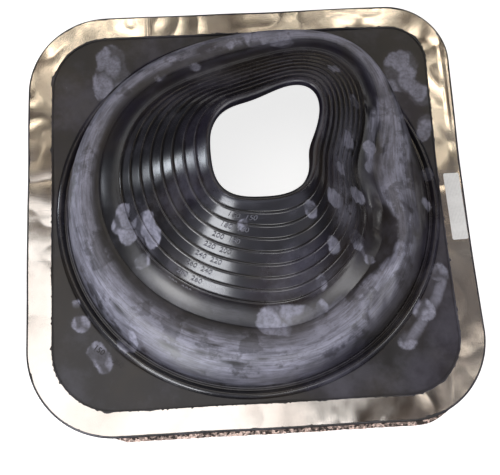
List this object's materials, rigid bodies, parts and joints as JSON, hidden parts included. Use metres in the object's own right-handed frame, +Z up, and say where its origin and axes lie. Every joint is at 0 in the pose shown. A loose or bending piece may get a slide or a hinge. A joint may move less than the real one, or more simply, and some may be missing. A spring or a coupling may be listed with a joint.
{
  "type": "pipe flashing boot",
  "caption": "Stepped black rubber pipe flashing boot, leaning cone on a square flange with a bendable aluminium band, foam gasket underneath and a blank label.",
  "frame": {"origin": "centre of the square flange, on the plane the foam gasket rests on", "axes": "+Z up out of the roof along the pipe, +Y to the back edge, +X to the edge with the label"},
  "size_m": [0.4304, 0.435, 0.1345],
  "materials": {
    "epdm_rubber": "satin, scuffed",
    "soft_aluminium": "mill finish, dented",
    "closed_cell_foam": "matte, speckled",
    "white_label": "matte"
  },
  "bodies": {
    "root": {"rubber_boot": "epdm_rubber", "aluminium_band": "soft_aluminium", "foam_gasket": "closed_cell_foam", "label": "white_label"}
  },
  "joints": []
}
